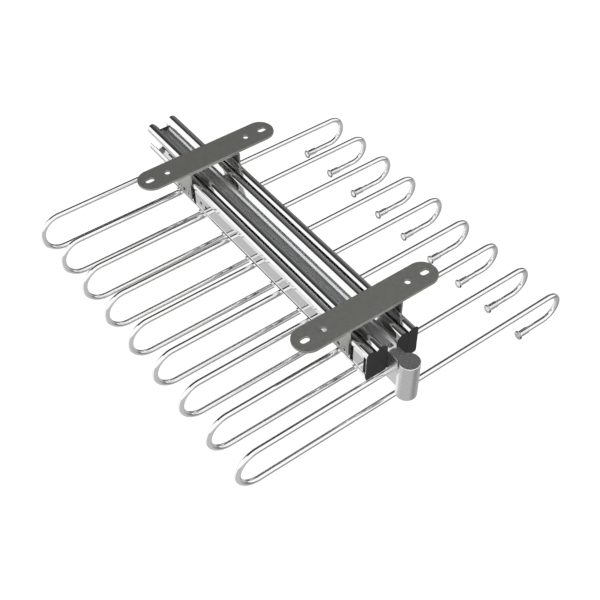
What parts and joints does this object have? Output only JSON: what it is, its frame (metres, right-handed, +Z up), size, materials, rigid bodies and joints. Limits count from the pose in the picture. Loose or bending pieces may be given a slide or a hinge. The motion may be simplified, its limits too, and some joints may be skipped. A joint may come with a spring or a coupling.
{
  "type": "pull out trouser rack",
  "caption": "Trouser rack that hangs under a wardrobe shelf: bent wire arms on a bar that pulls out between two ball bearing slides.",
  "frame": {"origin": "in the top face of the two plates, in the middle of the four screw slots", "axes": "+X along the arms, towards their open ends; +Y to the back of the wardrobe; +Z up, towards the shelf"},
  "size_m": [0.425, 0.4493, 0.1412],
  "materials": {
    "plate": "matt warm grey",
    "zinc": "zinc plated, fine grain",
    "rail_steel": "bright plated, drawn",
    "link_steel": "bright zinc plated",
    "wire": "polished",
    "ball_steel": "polished",
    "cage": "moulded",
    "bar": "anodised, satin",
    "grip": "matt silver grey",
    "black_plastic": "moulded",
    "tip_plastic": "clear, glossy",
    "rivet": "zinc plated",
    "screw": "blackened"
  },
  "bodies": {
    "hanger": {"mount_plate_front": "plate", "mount_plate_rear": "plate", "bracket_front": "zinc", "bracket_rear": "zinc", "leg_rivets": "rivet", "fixed_rail_left": "rail_steel", "fixed_rail_right": "rail_steel", "link_stop_left": "black_plastic", "link_stop_right": "black_plastic"},
    "carrier": {"moving_rail_left": "rail_steel", "moving_rail_right": "rail_steel", "end_cover_left_inner": "black_plastic", "end_cover_right_inner": "black_plastic", "carrier_bar": "bar", "carrier_rivets": "rivet", "bar_end_plug": "black_plastic", "arm_1": "wire", "arm_2": "wire", "arm_3": "wire", "arm_4": "wire", "arm_5": "wire", "arm_6": "wire", "arm_7": "wire", "arm_8": "wire", "arm_9": "wire", "tip_1": "tip_plastic", "tip_2": "tip_plastic", "tip_3": "tip_plastic", "tip_4": "tip_plastic", "tip_5": "tip_plastic", "tip_6": "tip_plastic", "tip_7": "tip_plastic", "tip_8": "tip_plastic", "tip_9": "tip_plastic", "arm_set_screws": "screw", "handle": "grip", "handle_screw": "screw"},
    "link_left": {"link_channel_left_outer": "link_steel", "link_channel_left_inner": "link_steel", "link_rivets_left": "rivet", "end_cover_left_outer": "black_plastic"},
    "cage_left_outer": {"ball_cage_left_outer": "cage", "balls_left_outer": "ball_steel"},
    "cage_left_inner": {"ball_cage_left_inner": "cage", "balls_left_inner": "ball_steel"},
    "link_right": {"link_channel_right_outer": "link_steel", "link_channel_right_inner": "link_steel", "link_rivets_right": "rivet", "end_cover_right_outer": "black_plastic"},
    "cage_right_outer": {"ball_cage_right_outer": "cage", "balls_right_outer": "ball_steel"},
    "cage_right_inner": {"ball_cage_right_inner": "cage", "balls_right_inner": "ball_steel"}
  },
  "joints": [
    {"name": "carrier_slide", "type": "slide", "parent": "hanger", "child": "carrier", "axis": [0, -1, 0], "range_m": [0, 0.33]},
    {"name": "link_left_slide", "type": "slide", "parent": "hanger", "child": "link_left", "axis": [0, -1, 0], "range_m": [0, 0.165]},
    {"name": "cage_left_outer_slide", "type": "slide", "parent": "hanger", "child": "cage_left_outer", "axis": [0, -1, 0], "range_m": [0, 0.0825]},
    {"name": "cage_left_inner_slide", "type": "slide", "parent": "hanger", "child": "cage_left_inner", "axis": [0, -1, 0], "range_m": [0, 0.2475]},
    {"name": "link_right_slide", "type": "slide", "parent": "hanger", "child": "link_right", "axis": [0, -1, 0], "range_m": [0, 0.165]},
    {"name": "cage_right_outer_slide", "type": "slide", "parent": "hanger", "child": "cage_right_outer", "axis": [0, -1, 0], "range_m": [0, 0.0825]},
    {"name": "cage_right_inner_slide", "type": "slide", "parent": "hanger", "child": "cage_right_inner", "axis": [0, -1, 0], "range_m": [0, 0.2475]}
  ],
  "couplings": [
    {"joint": "link_left_slide", "follows": "carrier_slide", "ratio": 0.5},
    {"joint": "cage_left_outer_slide", "follows": "carrier_slide", "ratio": 0.25},
    {"joint": "cage_left_inner_slide", "follows": "carrier_slide", "ratio": 0.75},
    {"joint": "link_right_slide", "follows": "carrier_slide", "ratio": 0.5},
    {"joint": "cage_right_outer_slide", "follows": "carrier_slide", "ratio": 0.25},
    {"joint": "cage_right_inner_slide", "follows": "carrier_slide", "ratio": 0.75}
  ]
}
